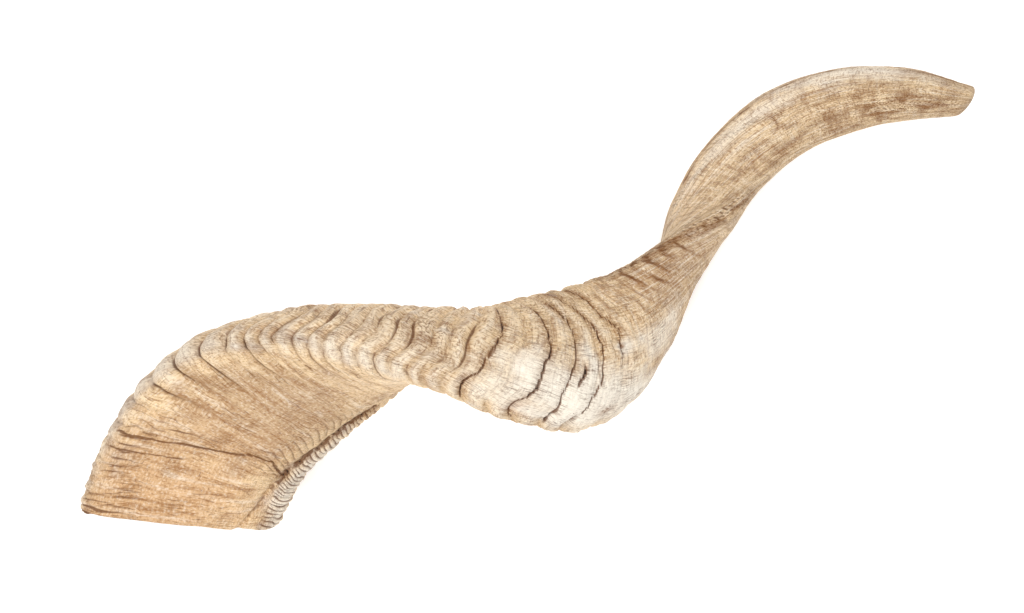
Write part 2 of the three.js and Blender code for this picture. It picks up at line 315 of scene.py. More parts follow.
# Radius in millimetres of the round on which the fibres are drawn
GRAIN_RADIUS = 30

# Floor, lights as (name, place, size) and the point that they face, in metres; the sensor in millimetres
FLOOR_HALF = 20.0
FLOOR_GAP = 0.0002
LIGHTS = (("key_light", (-0.4, -0.75, 0.95), 0.5), ("top_light", (0.2, 0.5, 1.2), 1.0))
LIT_POINT = (0, 0, 0.04)
SENSOR_WIDTH = 36.0
NEAREST_SEEN = 0.01

# Marks of the surface that the colours follow
HORN_MARKS = (
    "furrow", "stain_and_shade", "stripe", "face", "fibrous", "bare", "shaft", "warm", "cream", "grey", "dirt_and_shade",
    "worn", "socket",
)


def linear(hex_colour):
    """Linear red, green, blue and alpha of an sRGB hex colour."""
    shares = [int(hex_colour[i:i + 2], 16) / 255 for i in (1, 3, 5)]
    return (*(c / 12.92 if c <= 0.04045 else ((c + 0.055) / 1.055) ** 2.4 for c in shares), 1.0)


def smooth(span, x):
    """Soft step from 0 to 1 over a span."""
    share = np.clip((x - span[0]) / (span[1] - span[0]), 0, 1)
    return share * share * (3 - 2 * share)


def cubic(p0, p1, p2, p3, f):
    """Catmull-Rom curve between p1 and p2."""
    v0 = (p2 - p0) / 2
    v1 = (p3 - p1) / 2
    return (2 * p1 - 2 * p2 + v0 + v1) * f ** 3 + (-3 * p1 + 3 * p2 - 2 * v0 - v1) * f ** 2 + v0 * f + p1


def open_spline(points, share):
    """Places on a spline through points, at shares of the way from the first to the last."""
    spans = len(points) - 1
    padded = np.vstack([2 * points[0] - points[1], points, 2 * points[-1] - points[-2]])
    at = np.asarray(share) * spans
    i = np.clip(np.floor(at).astype(int), 0, spans - 1)
    return cubic(padded[i], padded[i + 1], padded[i + 2], padded[i + 3], (at - i)[..., None])


def closed_spline(points, share):
    """Places on a closed spline through points, at shares of the way around."""
    count = len(points)
    at = (np.asarray(share) % 1.0) * count
    i = np.floor(at).astype(int) % count
    f = (at - np.floor(at))[..., None]
    return cubic(points[i - 1], points[i], points[(i + 1) % count], points[(i + 2) % count], f)


ARC_PARAMETERS = np.linspace(0, 1, 8001)
ARC_STEPS = np.linalg.norm(np.diff(open_spline(CENTRE_LINE, ARC_PARAMETERS), axis=0), axis=1)
ARC_LENGTHS = np.concatenate([[0], np.cumsum(ARC_STEPS)])
LENGTH = ARC_LENGTHS[-1]


def curve_at(s):
    """Spline parameter at a share of the centre line's length."""
    return np.interp(s, ARC_LENGTHS / LENGTH, ARC_PARAMETERS)


def section_at(s):
    """Width, thickness and roll of the section."""
    section = open_spline(SECTIONS, curve_at(s))
    return section[..., 0], section[..., 1], np.radians(section[..., 2])


def outline_at(s, v):
    """Point of the section's outline in millimetres, at a share v of the way around."""
    width, thickness, _ = section_at(s)
    to_shaft = smooth(ROOT_TO_SHAFT, s)[..., None]
    to_tip = smooth(SHAFT_TO_TIP, s)[..., None]
    outline = closed_spline(ROOT_OUTLINE, v) * (1 - to_shaft) + closed_spline(SHAFT_OUTLINE, v) * to_shaft
    outline = outline * (1 - to_tip) + closed_spline(TIP_OUTLINE, v) * to_tip
    return np.stack([outline[..., 0] * width, outline[..., 1] * thickness], -1)


def outward_at(s, v):
    """The outline's outward direction."""
    step = 0.001
    along = outline_at(s, v + step) - outline_at(s, v - step)
    along /= np.linalg.norm(along, axis=-1, keepdims=True)
    return np.stack([along[..., 1], -along[..., 0]], -1)


def tangent_at(parameter):
    """The centre line's direction."""
    step = 1e-4
    after = open_spline(CENTRE_LINE, np.clip(parameter + step, 0, 1))
    along = after - open_spline(CENTRE_LINE, np.clip(parameter - step, 0, 1))
    return along / np.linalg.norm(along, axis=-1, keepdims=True)


def place_at(s, point):
    """Place in space of a section point, given across the keels and through the thickness."""
    parameter = curve_at(s)
    tangent = tangent_at(parameter)
    side = np.cross([0, 0, 1.0], tangent)
    side /= np.linalg.norm(side, axis=-1, keepdims=True)
    above = np.cross(tangent, side)
    roll = section_at(s)[2][..., None]
    to_keel = np.cos(roll) * side + np.sin(roll) * above
    to_face = np.cos(roll) * above - np.sin(roll) * side
    return open_spline(CENTRE_LINE, parameter) + point[..., :1] * to_keel + point[..., 1:] * to_face


CUT_NORMAL = np.cross(CUT_ALONG, CUT_DOWN) / np.linalg.norm(np.cross(CUT_ALONG, CUT_DOWN))
CUT_NORMAL = CUT_NORMAL * np.sign(CUT_NORMAL[1])


def where_cut(surface, v):
    """Shares of the length at which a surface passes the root's flat cut, one for each v."""
    low = np.zeros_like(v)
    high = np.full_like(v, CUT_WITHIN)
    for _ in range(CUT_HALVINGS):
        middle = (low + high) / 2
        beyond = (surface(middle) - CUT_POINT) @ CUT_NORMAL > 0
        low = np.where(beyond, low, middle)
        high = np.where(beyond, middle, high)
    return high


def rim_start(v):
    """Shares of the length at which the outside begins."""
    return where_cut(lambda s: place_at(s, outline_at(s, v)), v)


RIM_MIDDLE = rim_start(np.arange(SOLID_COLUMNS) / SOLID_COLUMNS).mean()
RIM_WIDTH = section_at(np.array(RIM_MIDDLE))[0]


def between(begins, ends, x):
    """1 between two soft spans, 0 outside them."""
    return smooth(begins, x) * (1 - smooth(ends, x))


def ease(span, x, start, end):
    """Value that passes softly from start to end over a span."""
    return start + (end - start) * smooth(span, x)


def keel_distance(v):
    """Outline points from the outer keel, either way around."""
    return OUTLINE_POINTS * np.minimum(v, 1 - v)


def on_keel(v):
    """How far a place around the outline belongs to the outer keel."""
    return 1 - smooth(KEEL_REACH, keel_distance(v))


def on_belly(v):
    """How far a place around the outline belongs to the belly."""
    return between(BELLY_BEGINS, BELLY_ENDS, OUTLINE_POINTS * v)


def on_bead(v):
    """How far a place around the outline belongs to the bead."""
    return between(BEAD_BEGINS, BEAD_ENDS, OUTLINE_POINTS * v)


def growth_share(t, v, start):
    """Share of the length of a growth row t: rows keep the slant of the root's cut, then straighten."""
    middle = RIM_MIDDLE + (1 - RIM_MIDDLE) * t
    width = section_at(middle)[0]
    slant = 1 - smooth(RIBS_STRAIGHTEN, t)
    bow = RIB_BOW * (width / LENGTH) * on_belly(v) * smooth(BOW_START, t)
    return middle + slant * ((start - RIM_MIDDLE) * (width / RIM_WIDTH) + bow)


def between_furrows(growth, furrows):
    """Place between two furrows, from 0 in the one to 1 in the next, and the space between them."""
    after = np.clip(np.searchsorted(furrows, growth, side="right"), 1, len(furrows) - 1)
    space = furrows[after] - furrows[after - 1]
    return np.clip((growth - furrows[after - 1]) / space, 0, 1), space


def outside(t, v, start, height):
    """Places on the outside of the horn, lifted by a height in millimetres."""
    s = growth_share(t, v, start)
    s = s - (TIP_SLANT / LENGTH) * (1 - np.cos(2 * np.pi * v)) * smooth(SLANT_START, t)
    return place_at(s, outline_at(s, v) + outward_at(s, v) * height[..., None])


def tip_row(share, v):
    """Row of the tip's rounding, from 0 at its start to 1 at its end."""
    angle = share * np.pi / 2
    shrink = np.cos(angle)
    s = 1 - (TIP_SLANT / LENGTH) * (1 - shrink * np.cos(2 * np.pi * v))
    return place_at(s, outline_at(s, v) * shrink) + tangent_at(np.array(1.0)) * TIP_ROUNDING * np.sin(angle)


def socket_place(s, v, shrink):
    """Places on the socket's wall, scaled down from the section's outline."""
    width, thickness, _ = section_at(s)
    outline = outline_at(s, v)
    axis = SOCKET_AXIS * thickness
    a = outline[..., 0] * (1 - 2 * SOCKET_WALL / width) * shrink
    b = axis + (outline[..., 1] - axis) * (1 - 2 * SOCKET_WALL / thickness) * shrink
    return place_at(s, np.stack([a, b], -1))


def turn():
    """Rotation from the frame that the camera looks down on to the resting horn."""
    about_x = Matrix.Rotation(np.radians(REST_TILT_X), 3, "X")
    about_y = Matrix.Rotation(np.radians(REST_TILT_Y), 3, "Y")
    return np.array(about_y @ about_x)


def resting_offset(ribs):
    """Shift in millimetres that brings the turned horn to the solid part's box."""
    ribbed = SOLID_RIBBED_SHARE * np.arange(SOLID_RIBBED_ROWS) / SOLID_RIBBED_ROWS
    plain = np.linspace(SOLID_RIBBED_SHARE, 1, SOLID_SMOOTH_ROWS + 1)
    v = np.arange(SOLID_COLUMNS) / SOLID_COLUMNS
    t, around = np.meshgrid(np.concatenate([ribbed, plain]), v, indexing="ij")
    crest = np.sin(np.pi * between_furrows(t * LENGTH, FURROWS)[0]) ** CREST_POWER - FURROW_SHARE
    crest = np.where(t * LENGTH >= FURROWS[-1], -FURROW_SHARE, crest)
    height = crest * rib_size(around, ribs) * (1 - smooth(RIBS_FADE, t)) * smooth(RIBS_START, t)
    places = outside(t, around, rim_start(v)[None, :], height) @ turn().T
    return np.array(HORN_LOW) / MM - places.reshape(-1, 3).min(0)


def rib_heights(sizes):
    """Heights of the ribs on the outer keel, the belly, the bead and the flat face, in millimetres."""
    return tuple(height / MM for height in (sizes.keel_rib, sizes.belly_rib, sizes.bead_rib, sizes.face_rib))


def rib_size(v, ribs):
    """Height of the ribs around the outline."""
    keel, belly, bead, face = ribs
    return face + keel * on_keel(v) + belly * on_belly(v) + bead * on_bead(v)


def ripple(name, growth, v):
    """Smooth random values from -1 to 1, on the net that the ripple's name gives."""
    step, count, seed = RIPPLES[name]
    spare_rows = 8
    rows = int(LENGTH / step) + spare_rows
    net = np.random.default_rng(seed).uniform(-1, 1, (rows, count))
    y = growth / step + spare_rows / 4
    x = v * count
    i = np.floor(y).astype(int)
    j = np.floor(x).astype(int)
    fy = smooth((0, 1), y - i)
    fx = smooth((0, 1), x - j)
    i0 = i % rows
    i1 = (i + 1) % rows
    j0 = j % count
    j1 = (j + 1) % count
    low = net[i0, j0] * (1 - fx) + net[i0, j1] * fx
    high = net[i1, j0] * (1 - fx) + net[i1, j1] * fx
    return low * (1 - fy) + high * fy


def patches(name, growth, v):
    """Random share from 0 to 1 that breaks a thing up into patches."""
    middle, swing = PATCHES[name]
    return np.clip(middle + swing * ripple(name, growth, v), 0, 1)


def bell(distance, width):
    """1 at no distance, falling softly to 0 past a half width."""
    return np.exp(-((distance / width) ** 2))


def beyond_keel(place):
    """Outline points that count on past the outer keel from 13, up to the flat face."""
    return np.where(place < KEEL_SIDE_ENDS, place + OUTLINE_POINTS, place)


def across_line(growth, place, points, width, waver):
    """Strength of a thin line that runs around the horn, through points of (outline point, growth)."""
    stops, growths = np.array(points, float).T
    fade = 0.18
    middle = np.interp(place, stops, growths) + waver
    ends = between((stops[0] - fade, stops[0] + fade), (stops[-1] - fade, stops[-1] + fade), place)
    return ends * bell(growth - middle, width)


def lengthwise_line(growth, place, points, width, waver):
    """Strength of a thin line that runs along the horn, through points of (growth, outline point)."""
    growths, stops = np.array(points, float).T
    fade = 5
    middle = np.interp(growth, growths, stops) + waver
    ends = between((growths[0] - fade, growths[0] + fade), (growths[-1] - fade, growths[-1] + fade), growth)
    return ends * bell(place - middle, width)


def zone(growth, place, spots, waver):
    """Strength from 0 to 1 of soft spots, with wavering edges."""
    total = np.zeros_like(growth)
    for middle, point, reach, spread, strength in spots:
        around = (place - point + OUTLINE_POINTS / 2) % OUTLINE_POINTS - OUTLINE_POINTS / 2
        away = ((growth - middle) / reach) ** 2 + (around / spread) ** 2
        total = np.maximum(total, strength * np.exp(-away * (1 + ZONE_WAVER * waver)))
    return np.clip(total, 0, 1)


def rib_relief(growth, v, sizes):
    """Ribs with narrow furrows, each a little different: their height, growth, extent and marks."""
    place = OUTLINE_POINTS * v
    waver = 0.7 * ripple("rib_waver", growth, v) + 0.4 * ripple("rib_shiver", growth, v)
    sway = np.interp(beyond_keel(place), SWAY_PLACES, SWAY_GROWTHS) * smooth(SWAY_START, growth)
    rib_growth = growth - sway + waver * smooth(WAVER_START, growth)
    share, space = between_furrows(rib_growth, FINE_FURROWS)
    ribbed = (1 - smooth(RIBS_FADE, growth / LENGTH)) * smooth(RIBS_START, growth / LENGTH)
    crest = np.sin(np.pi * share) ** CREST_POWER
    uneven = 1 + 0.45 * ripple("rib_height", rib_growth, v)
    keel, belly, bead, face = rib_heights(sizes)
    keel = keel * ease(KEEL_RIBS_RISE, growth, 0.4, 1.15) * ease(KEEL_RIBS_EASE, growth, 1, 0.5)
    belly = belly * ease(BELLY_RIBS_EASE, growth, 0.75, 0.4)
    height = (crest - FURROW_SHARE) * rib_size(v, (keel, belly, bead, face)) * uneven * ribbed
    folded = between(*KEEL_FOLDS_AROUND, place) * between(*KEEL_FOLDS_ALONG, growth)
    height += sizes.fold_height / MM * (crest - FOLD_MEAN) * folded * uneven

    near_furrow = np.minimum(share, 1 - share) * space
    furrow = bell(near_furrow, FURROW_WIDTH) * ribbed
    keel_furrow = furrow * (1 - smooth(KEEL_FURROWS_AROUND, keel_distance(v)))
    keel_furrow *= patches("keel_furrow", rib_growth, v) * (0.3 + 0.7 * between(*KEEL_FURROWS_ALONG, growth))
    keel_furrow *= ease(KEEL_FURROWS_EASE, growth, 1, 0.65)
    belly_furrow = furrow * on_belly(v) * patches("belly_furrow", rib_growth, v)
    belly_furrow *= ease(BELLY_FURROWS_EASE, growth, 1, 0.3)
    height -= sizes.furrow_depth / MM * (keel_furrow + 0.25 * belly_furrow)
    # Painted shade darkens the furrows between the ribs
    dark = np.maximum(DARKNESS["keel_furrow"] * keel_furrow, DARKNESS["belly_furrow"] * belly_furrow)
    # Brown stain beside the furrows: partly real stain, partly painted shade around them
    stain_and_shade = bell(near_furrow, FURROW_STAIN_AND_SHADE) * ribbed * (0.7 * on_keel(v) + 0.4 * on_belly(v))
    stain_and_shade *= patches("ring_patch", growth, v)
    worn = np.clip(1.3 * (crest - 0.4) * ribbed * (on_keel(v) + 0.55 * on_belly(v)), 0, 1)
    return height, rib_growth, ribbed, dark, stain_and_shade, worn


def ring_relief(growth, rib_growth, ribbed, v, sizes):
    """Fine growth rings, and thin wavy ridges on the keel near the root: their height and darkness."""
    coarse = ripple("coarse_ring", rib_growth, v)
    rings = ripple("fine_ring", rib_growth, v) + 0.8 * coarse
    share = 0.3 + ease(RINGS_EASE, growth, 1.2, 0.7) * on_belly(v) + 0.6 * on_keel(v)
    height = sizes.ring_height / MM * rings * share * (0.35 + 0.65 * ribbed)
    patchy = patches("ring_patch", growth, v)
    ring = bell(coarse, RING_LINE) * patchy * (0.3 + 0.7 * ribbed)
    ring *= 0.35 + 0.5 * on_belly(v) + 0.4 * on_keel(v)

    waved = rib_growth + 1.3 * ripple("root_ridge", growth, v)
    ridge = bell(np.sin(np.pi * waved / (sizes.root_ridge_pitch / MM)), ROOT_RIDGE_LINE)
    ridge *= (1 - smooth(ROOT_RIDGES_AROUND, keel_distance(v))) * (1 - smooth(ROOT_RIDGES_END, growth))
    height -= sizes.root_ridge_depth / MM * ridge
    # Painted shade darkens the troughs between the root ridges; the ring lines are real colour
    return height, np.maximum(DARKNESS["ring"] * ring, ridge * (0.35 + 0.65 * patchy))


def fold_relief(growth, v, sizes):
    """Folds of the flat face beside the groove: their height and darkness."""
    place = OUTLINE_POINTS * v
    slanted = growth - np.interp(place, FOLD_PLACES, FOLD_GROWTHS) + 1.2 * ripple("face_fold", growth, v)
    fold = np.abs(np.sin(np.pi * slanted / (sizes.face_fold_pitch / MM))) ** RIDGE_POWER
    folded = between(*FACE_FOLDS_AROUND, place) * between(*FACE_FOLDS_ALONG, growth)
    height = sizes.fold_height / MM * 0.5 * (fold - RIDGE_MEAN) * folded
    # Painted shade darkens the troughs between the folds
    return height, DARKNESS["face_fold"] * (1 - fold) * folded


def bead_relief(growth, v, sizes):
    """Bead of slanting ridges beside the flat face, and the ragged strip that it runs out into."""
    place = OUTLINE_POINTS * v
    bead = between(*BEAD_AROUND, place) * (1 - smooth(BEAD_ENDS_ALONG, growth))
    strip = between(*STRIP_AROUND, place) * between(*STRIP_ALONG, growth)
    slanted = growth + BEAD_SLANT * (place - BEAD_MIDDLE) + 0.9 * ripple("bead_ridge", growth, v)
    ridge = np.abs(np.sin(np.pi * slanted / (sizes.bead_pitch / MM))) ** RIDGE_POWER
    height = sizes.bead_ridge / MM * (ridge - RIDGE_MEAN) * (bead + 0.6 * strip)
    # Painted shade darkens the troughs between the ridges of the bead and of the strip
    return height, (1 - ridge) * np.maximum(DARKNESS["bead"] * bead, DARKNESS["strip"] * strip)


def shaft_stripes(growth, rib_growth, v, sizes):
    """Strength of the brown growth stripes across the inner side of the shaft."""
    place = OUTLINE_POINTS * v
    stripe = bell(np.sin(np.pi * rib_growth / (sizes.stripe_pitch / MM)), STRIPE_LINE)
    stripe *= between(*STRIPES_AROUND, place) * between(*STRIPES_ALONG, growth)
    return stripe * patches("stripe", growth, v)


def crack_relief(growth, v, sizes):
    """Cracks of the bend and the tip, groove and face lines: their height, darkness and the stains beside
    them. Their darkness in the cracks and the groove is painted shade, and the stains are partly real and
    partly painted shade.
    """
    place = OUTLINE_POINTS * v
    past_keel = beyond_keel(place)
    crack_depth = sizes.crack_depth / MM
    ragged = 0.55 * ripple("crack_waver", growth, v) + 0.35 * ripple("crack_shiver", growth, v)
    height = np.zeros_like(growth)
    dark = np.zeros_like(growth)
    stain_and_shade = np.zeros_like(growth)
    for points, width, depth in CRACKS:
        line = across_line(growth, past_keel, points, width, ragged)
        height -= crack_depth * depth * line
        wide = across_line(growth, past_keel, points, CRACK_EDGE_WIDTH, ragged)
        height -= 1.3 * crack_depth * wide * smooth(CRACK_EDGE, past_keel)
        # Painted shade fills the cracks
        dark = np.maximum(dark, line * (1.2 + 0.65 * ripple("crack_width", growth, v)))
        stain_and_shade = np.maximum(stain_and_shade, across_line(growth, past_keel, points, CRACK_STAIN, 2 * ragged))
    for points in TIP_CRACKS:
        waver = 0.12 * ripple("tip_crack_waver", growth, v)
        line = lengthwise_line(growth, place, points, TIP_CRACK_WIDTH, waver)
        line = line * patches("tip_crack", growth, v)
        height -= 0.5 * crack_depth * line
        dark = np.maximum(dark, DARKNESS["tip_crack"] * line)
        stain_and_shade = np.maximum(stain_and_shade, 0.8 * lengthwise_line(growth, place, points, TIP_CRACK_STAIN, 0))
    groove = lengthwise_line(growth, place, GROOVE, GROOVE_WIDTH, 0.06 * ripple("groove_waver", growth, v))
    height -= sizes.groove_depth / MM * groove * ease(GROOVE_SHALLOWS, growth, 1, 0.6)
    flecked = 0.75 + 0.5 * ripple("groove_fleck", growth, v)
    # Painted shadow fills the groove, flecked and lighter near the root
    dark = np.maximum(dark, groove * flecked * ease(GROOVE_DARKENS, growth, 0.45, 1))
    for points, width, darkness in FACE_LINES:
        line = darkness * across_line(growth, place, points, width, 0.8 * ragged)
        height -= sizes.face_line_depth / MM * line
        uneven = 1 + 0.3 * ripple("face_line", growth, v)
        dark = np.maximum(dark, DARKNESS["face_line"] * line * uneven)
        around = across_line(growth, place, points, FACE_LINE_STAIN, 2 * ragged)
        stain_and_shade = np.maximum(stain_and_shade, 0.7 * darkness * around)
    return height, dark, stain_and_shade


def horn_relief(growth, v, sizes):
    """Height of the surface over the plain section in millimetres, and the marks that its colours follow."""
    place = OUTLINE_POINTS * v
    height, rib_growth, ribbed, rib_dark, rib_stain_and_shade, worn = rib_relief(growth, v, sizes)
    ring_height, ring_dark = ring_relief(growth, rib_growth, ribbed, v, sizes)
    fold_height, fold_dark = fold_relief(growth, v, sizes)
    bead_height, bead_dark = bead_relief(growth, v, sizes)
    crack_height, crack_dark, crack_stain = crack_relief(growth, v, sizes)
    lumps = ripple("lump", growth, v) + 0.5 * ripple("small_lump", growth, v)
    height += ring_height + fold_height + bead_height + crack_height + sizes.lump_height / MM * lumps

    stripe = shaft_stripes(growth, rib_growth, v, sizes)
    darkest = [crack_dark, rib_dark, ring_dark, fold_dark, bead_dark, DARKNESS["stripe"] * stripe]
    blotch = ripple("blotch", growth, v) + 0.6 * ripple("small_blotch", growth, v)
    on_face = between(*FACE_AROUND, place)
    on_shaft = smooth(SHAFT_BEGINS, growth)
    marks = {
        "furrow": np.clip(np.maximum.reduce(darkest), 0, 1),
        "warm": zone(growth, place, WARM_ZONES, blotch),
        "cream": zone(growth, place, CREAM_ZONES, blotch),
        "grey": zone(growth, place, GREY_ZONES, blotch),
        "dirt_and_shade": zone(growth, place, DIRT_ZONES, blotch),
        "stain_and_shade": np.clip(np.maximum.reduce([stripe, crack_stain, rib_stain_and_shade]), 0, 1),
        "face": 0.3 + 0.7 * on_face,
        "stripe": stripe,
        "bare": 1 - 0.85 * on_shaft,
        "fibrous": 1 - 0.75 * on_face * (1 - on_shaft),
        "shaft": ease(SHAFT_STREAKS_START, growth, 0.15, 1),
        "worn": worn,
    }
    return height, marks


def socket_rows(v):
    """Rows of the socket's wall from its blind end to its mouth."""
    mouth = where_cut(lambda s: socket_place(s, v, 1), v)
    end = RIM_MIDDLE + SOCKET_DEPTH / LENGTH
    rows = []
    for i in range(SOCKET_ROWS - 1, -1, -1):
        share = i / SOCKET_ROWS
        shrink = (1 - SOCKET_TAPER * share) * np.sqrt(1 - share ** 4)
        rough = ripple("socket_wall", np.full_like(v, SOCKET_DEPTH * share), v)
        wall = 1 + SOCKET_ROUGHNESS * rough * smooth(SOCKET_ROUGH_START, share)
        rows.append(socket_place(mouth + (end - mouth) * share, v, shrink * wall))
    return rows


def cut_rows(inner, outer, v):
    """Rows of the root's cut, between the socket's mouth and the outside."""
    rows = []
    for i in range(1, RIM_ROWS + 1):
        share = i / (RIM_ROWS + 1)
        rough = CUT_ROUGHNESS * (1 + ripple("cut_face", np.full_like(v, CUT_WIDTH * share), v))
        rows.append(inner * (1 - share) + outer * share + CUT_NORMAL * rough[:, None])
    return rows


def horn_rows(sizes):
    """Rows of places in millimetres from the socket's blind end to the tip, with growth, v and marks."""
    points = np.concatenate([np.linspace(a, b, n, endpoint=False) for a, b, n in COLUMN_SPANS])
    v = points / OUTLINE_POINTS
    spans = [np.arange(a, b, step) for a, b, step in ROW_SPANS]
    growth, around = np.meshgrid(np.concatenate([*spans, [LENGTH]]), v, indexing="ij")

    # The rim is a little ragged: small chips set its edge back
    chips = CHIP_DEPTH * np.clip(ripple("rim_chip", np.zeros_like(v), v) + 0.1, 0, 1)
    growth = growth + chips[None, :] * np.clip(1 - growth / CHIP_REACH, 0, 1)
    height, marks = horn_relief(growth, around, sizes)
    height -= RIM_ROUNDING * np.exp(-growth / RIM_ROUNDING)
    outer = outside(growth / LENGTH, around, rim_start(v)[None, :], height)
    swept = bell(growth - SWEEP_AT, SWEEP_REACH) * np.cos(np.pi * around) ** 4
    outer = outer + swept[..., None] * KEEL_SWEEP

    socket = socket_rows(v)
    rim = cut_rows(socket[-1], outer[0], v)
    tips = [tip_row(i / TIP_ROWS, v) for i in range(1, TIP_ROWS)]
    inside = len(socket) + len(rim)
    rows = np.concatenate([np.stack(socket + rim), outer, np.stack(tips)])
    depth = np.concatenate([np.linspace(SOCKET_DEPTH, 0, len(socket)), np.zeros(len(rim))])
    row_growth = np.vstack([
        np.repeat(depth[:, None], len(v), 1), growth,
        np.repeat(LENGTH + TIP_ROUNDING * np.arange(1, TIP_ROWS)[:, None] / TIP_ROWS, len(v), 1),
    ])
    for name, mark in marks.items():
        marks[name] = np.vstack([np.zeros((inside, len(v))), mark, np.repeat(mark[-1:], len(tips), 0)])
    marks["socket"] = np.zeros_like(row_growth)
    # Painted shade: the socket's wall takes more of its dark colour deeper inside
    marks["socket"][:len(socket)] = ease(SOCKET_DARKENS, depth[:len(socket)], *SOCKET_TONES)[:, None]
    marks["socket"][len(socket):inside] = CUT_TONE

    end = np.array(RIM_MIDDLE + SOCKET_DEPTH / LENGTH)
    socket_end = place_at(end, np.array([0, SOCKET_AXIS * section_at(end)[1]]))
    tip_share = np.array(1 - TIP_SLANT / LENGTH)
    tip_end = place_at(tip_share, np.zeros(2)) + tangent_at(np.array(1.0)) * TIP_ROUNDING
    return rows, row_growth, v, marks, socket_end, tip_end


def horn_faces(row_count, column_count):
    """Quads between the rows, and a fan of triangles at each end."""
    i, j = np.meshgrid(np.arange(row_count - 1), np.arange(column_count), indexing="ij")
    j_next = (j + 1) % column_count
    quads = 1 + np.stack([
        i * column_count + j, i * column_count + j_next,
        (i + 1) * column_count + j_next, (i + 1) * column_count + j,
    ], -1).reshape(-1, 4)
    j = np.arange(column_count)
    j_next = (j + 1) % column_count
    last_row = 1 + (row_count - 1) * column_count
    last = 1 + row_count * column_count
    first_fan = np.stack([np.zeros_like(j), 1 + j_next, 1 + j], -1)
    last_fan = np.stack([np.full_like(j, last), last_row + j, last_row + j_next], -1)
    return quads.tolist() + first_fan.tolist() + last_fan.tolist()


def horn_mesh(sizes):
    """The horn's fine mesh, in metres and in the solid part's place."""
    rows, growth, v, marks, socket_end, tip_end = horn_rows(sizes)
    row_count, column_count = rows.shape[:2]
    points = np.vstack([socket_end[None, :], rows.reshape(-1, 3), tip_end[None, :]])
    points = (points @ turn().T + resting_offset(rib_heights(sizes))) * MM
    # Nothing lies below the floor
    points[:, 2] = np.maximum(points[:, 2], HORN_LOW.z)
    mesh = bpy.data.meshes.new("horn")
    mesh.from_pydata(points.tolist(), [], horn_faces(row_count, column_count))
    for name, mark in marks.items():
        attribute = mesh.attributes.new(name, "FLOAT", "POINT")
        attribute.data.foreach_set("value", np.concatenate([mark[0, :1], mark.ravel(), mark[-1, :1]]))

    # Grain coordinates in metres: along the growth, and twice across it on a round
    around = np.broadcast_to(v, growth.shape)
    drift = 1.6 * ripple("grain_drift", growth, around) + 0.6 * ripple("grain_shiver", growth, around)
    along = growth + drift
    angle = 2 * np.pi * around + 0.05 * ripple("grain_turn", growth, around)
    across = GRAIN_RADIUS * np.stack([np.cos(angle), np.sin(angle)], -1)
    grain = np.concatenate([along[..., None], across], -1).reshape(-1, 3) * MM
    grain = np.vstack([grain[:1], grain, grain[-1:]])
    attribute = mesh.attributes.new("grain", "FLOAT_VECTOR", "POINT")
    attribute.data.foreach_set("vector", grain.ravel())
    mesh.shade_smooth()
    mesh.validate()
    return mesh


def add_node(tree, kind, inputs=None, **settings):
    """Adds a node, makes its settings, and sets or links its inputs by name or number."""
    node = tree.nodes.new(kind)
    for name, value in settings.items():
        setattr(node, name, value)
    for name, value in (inputs or {}).items():
        if isinstance(value, bpy.types.NodeSocket):
            tree.links.new(value, node.inputs[name])
        else:
            node.inputs[name].default_value = value
    return node


